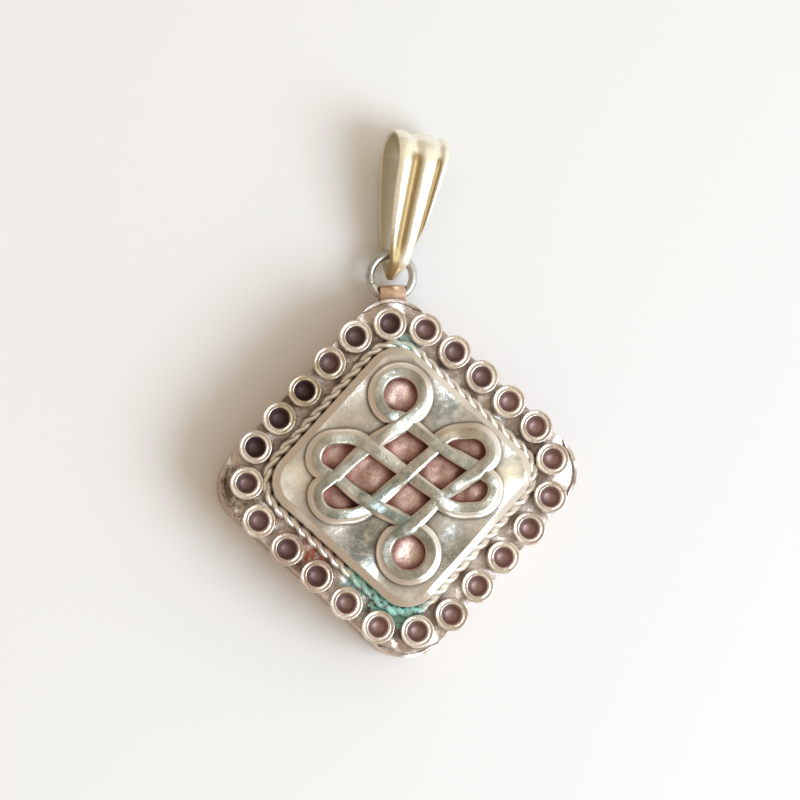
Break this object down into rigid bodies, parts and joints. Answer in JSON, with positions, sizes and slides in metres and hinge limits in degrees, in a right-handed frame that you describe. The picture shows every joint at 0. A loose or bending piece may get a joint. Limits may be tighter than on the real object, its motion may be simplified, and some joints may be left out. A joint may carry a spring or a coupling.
{
  "type": "ghau amulet box",
  "caption": "Diamond-set square pendant box with a pierced endless knot on a raised face, a row of tube settings round it, a lift-off back lid, and a fluted bail on a jump ring.",
  "frame": {"origin": "middle of the flat back face of the lid", "axes": "+Z out of the front face, +Y from the middle towards the bail, +X to the right"},
  "size_m": [0.036, 0.0536, 0.0103],
  "materials": {
    "brass_lid": "satin, worn",
    "brass_case": "satin, tarnished in the corners",
    "worn_silver": "satin, tarnished, green in the crevices",
    "face_silver": "brushed, scratched",
    "rose_copper": "dull, oxidised",
    "knot_silver": "satin",
    "twisted_wire": "bright",
    "tube_brass": "polished, pale",
    "loop_copper": "satin",
    "ring_steel": "polished",
    "pale_gold": "polished"
  },
  "bodies": {
    "lid": {"lid_plate": "brass_lid", "lid_collar": "brass_lid"},
    "case": {"case_wall": "brass_case", "front_plate": "worn_silver", "raised_wall": "worn_silver", "face_plate": "face_silver", "backing_plate": "rose_copper", "endless_knot": "knot_silver", "rope_border": "twisted_wire", "hanging_loop": "loop_copper", "tube_setting_01": "tube_brass", "tube_setting_02": "tube_brass", "tube_setting_03": "tube_brass", "tube_setting_04": "tube_brass", "tube_setting_05": "tube_brass", "tube_setting_06": "tube_brass", "tube_setting_07": "tube_brass", "tube_setting_08": "tube_brass", "tube_setting_09": "tube_brass", "tube_setting_10": "tube_brass", "tube_setting_11": "tube_brass", "tube_setting_12": "tube_brass", "tube_setting_13": "tube_brass", "tube_setting_14": "tube_brass", "tube_setting_15": "tube_brass", "tube_setting_16": "tube_brass", "tube_setting_17": "tube_brass", "tube_setting_18": "tube_brass", "tube_setting_19": "tube_brass", "tube_setting_20": "tube_brass", "tube_setting_21": "tube_brass", "tube_setting_22": "tube_brass", "tube_setting_23": "tube_brass", "tube_setting_24": "tube_brass"},
    "ring": {"jump_ring": "ring_steel"},
    "hanger": {"bail": "pale_gold"}
  },
  "joints": [
    {"name": "case_lift", "type": "slide", "parent": "lid", "child": "case", "axis": [0, 0, 1], "range_m": [0, 0.01]},
    {"name": "ring_swing", "type": "hinge", "parent": "case", "child": "ring", "pos_m": [0.0006, 0.01848, 0.00225], "axis": [1, 0, 0], "range_deg": [-18, 60]},
    {"name": "bail_swing", "type": "hinge", "parent": "ring", "child": "hanger", "pos_m": [0.00111, 0.02282, 0.00237], "axis": [0.9724, -0.2334, -0.0063], "range_deg": [-45, 30]}
  ]
}
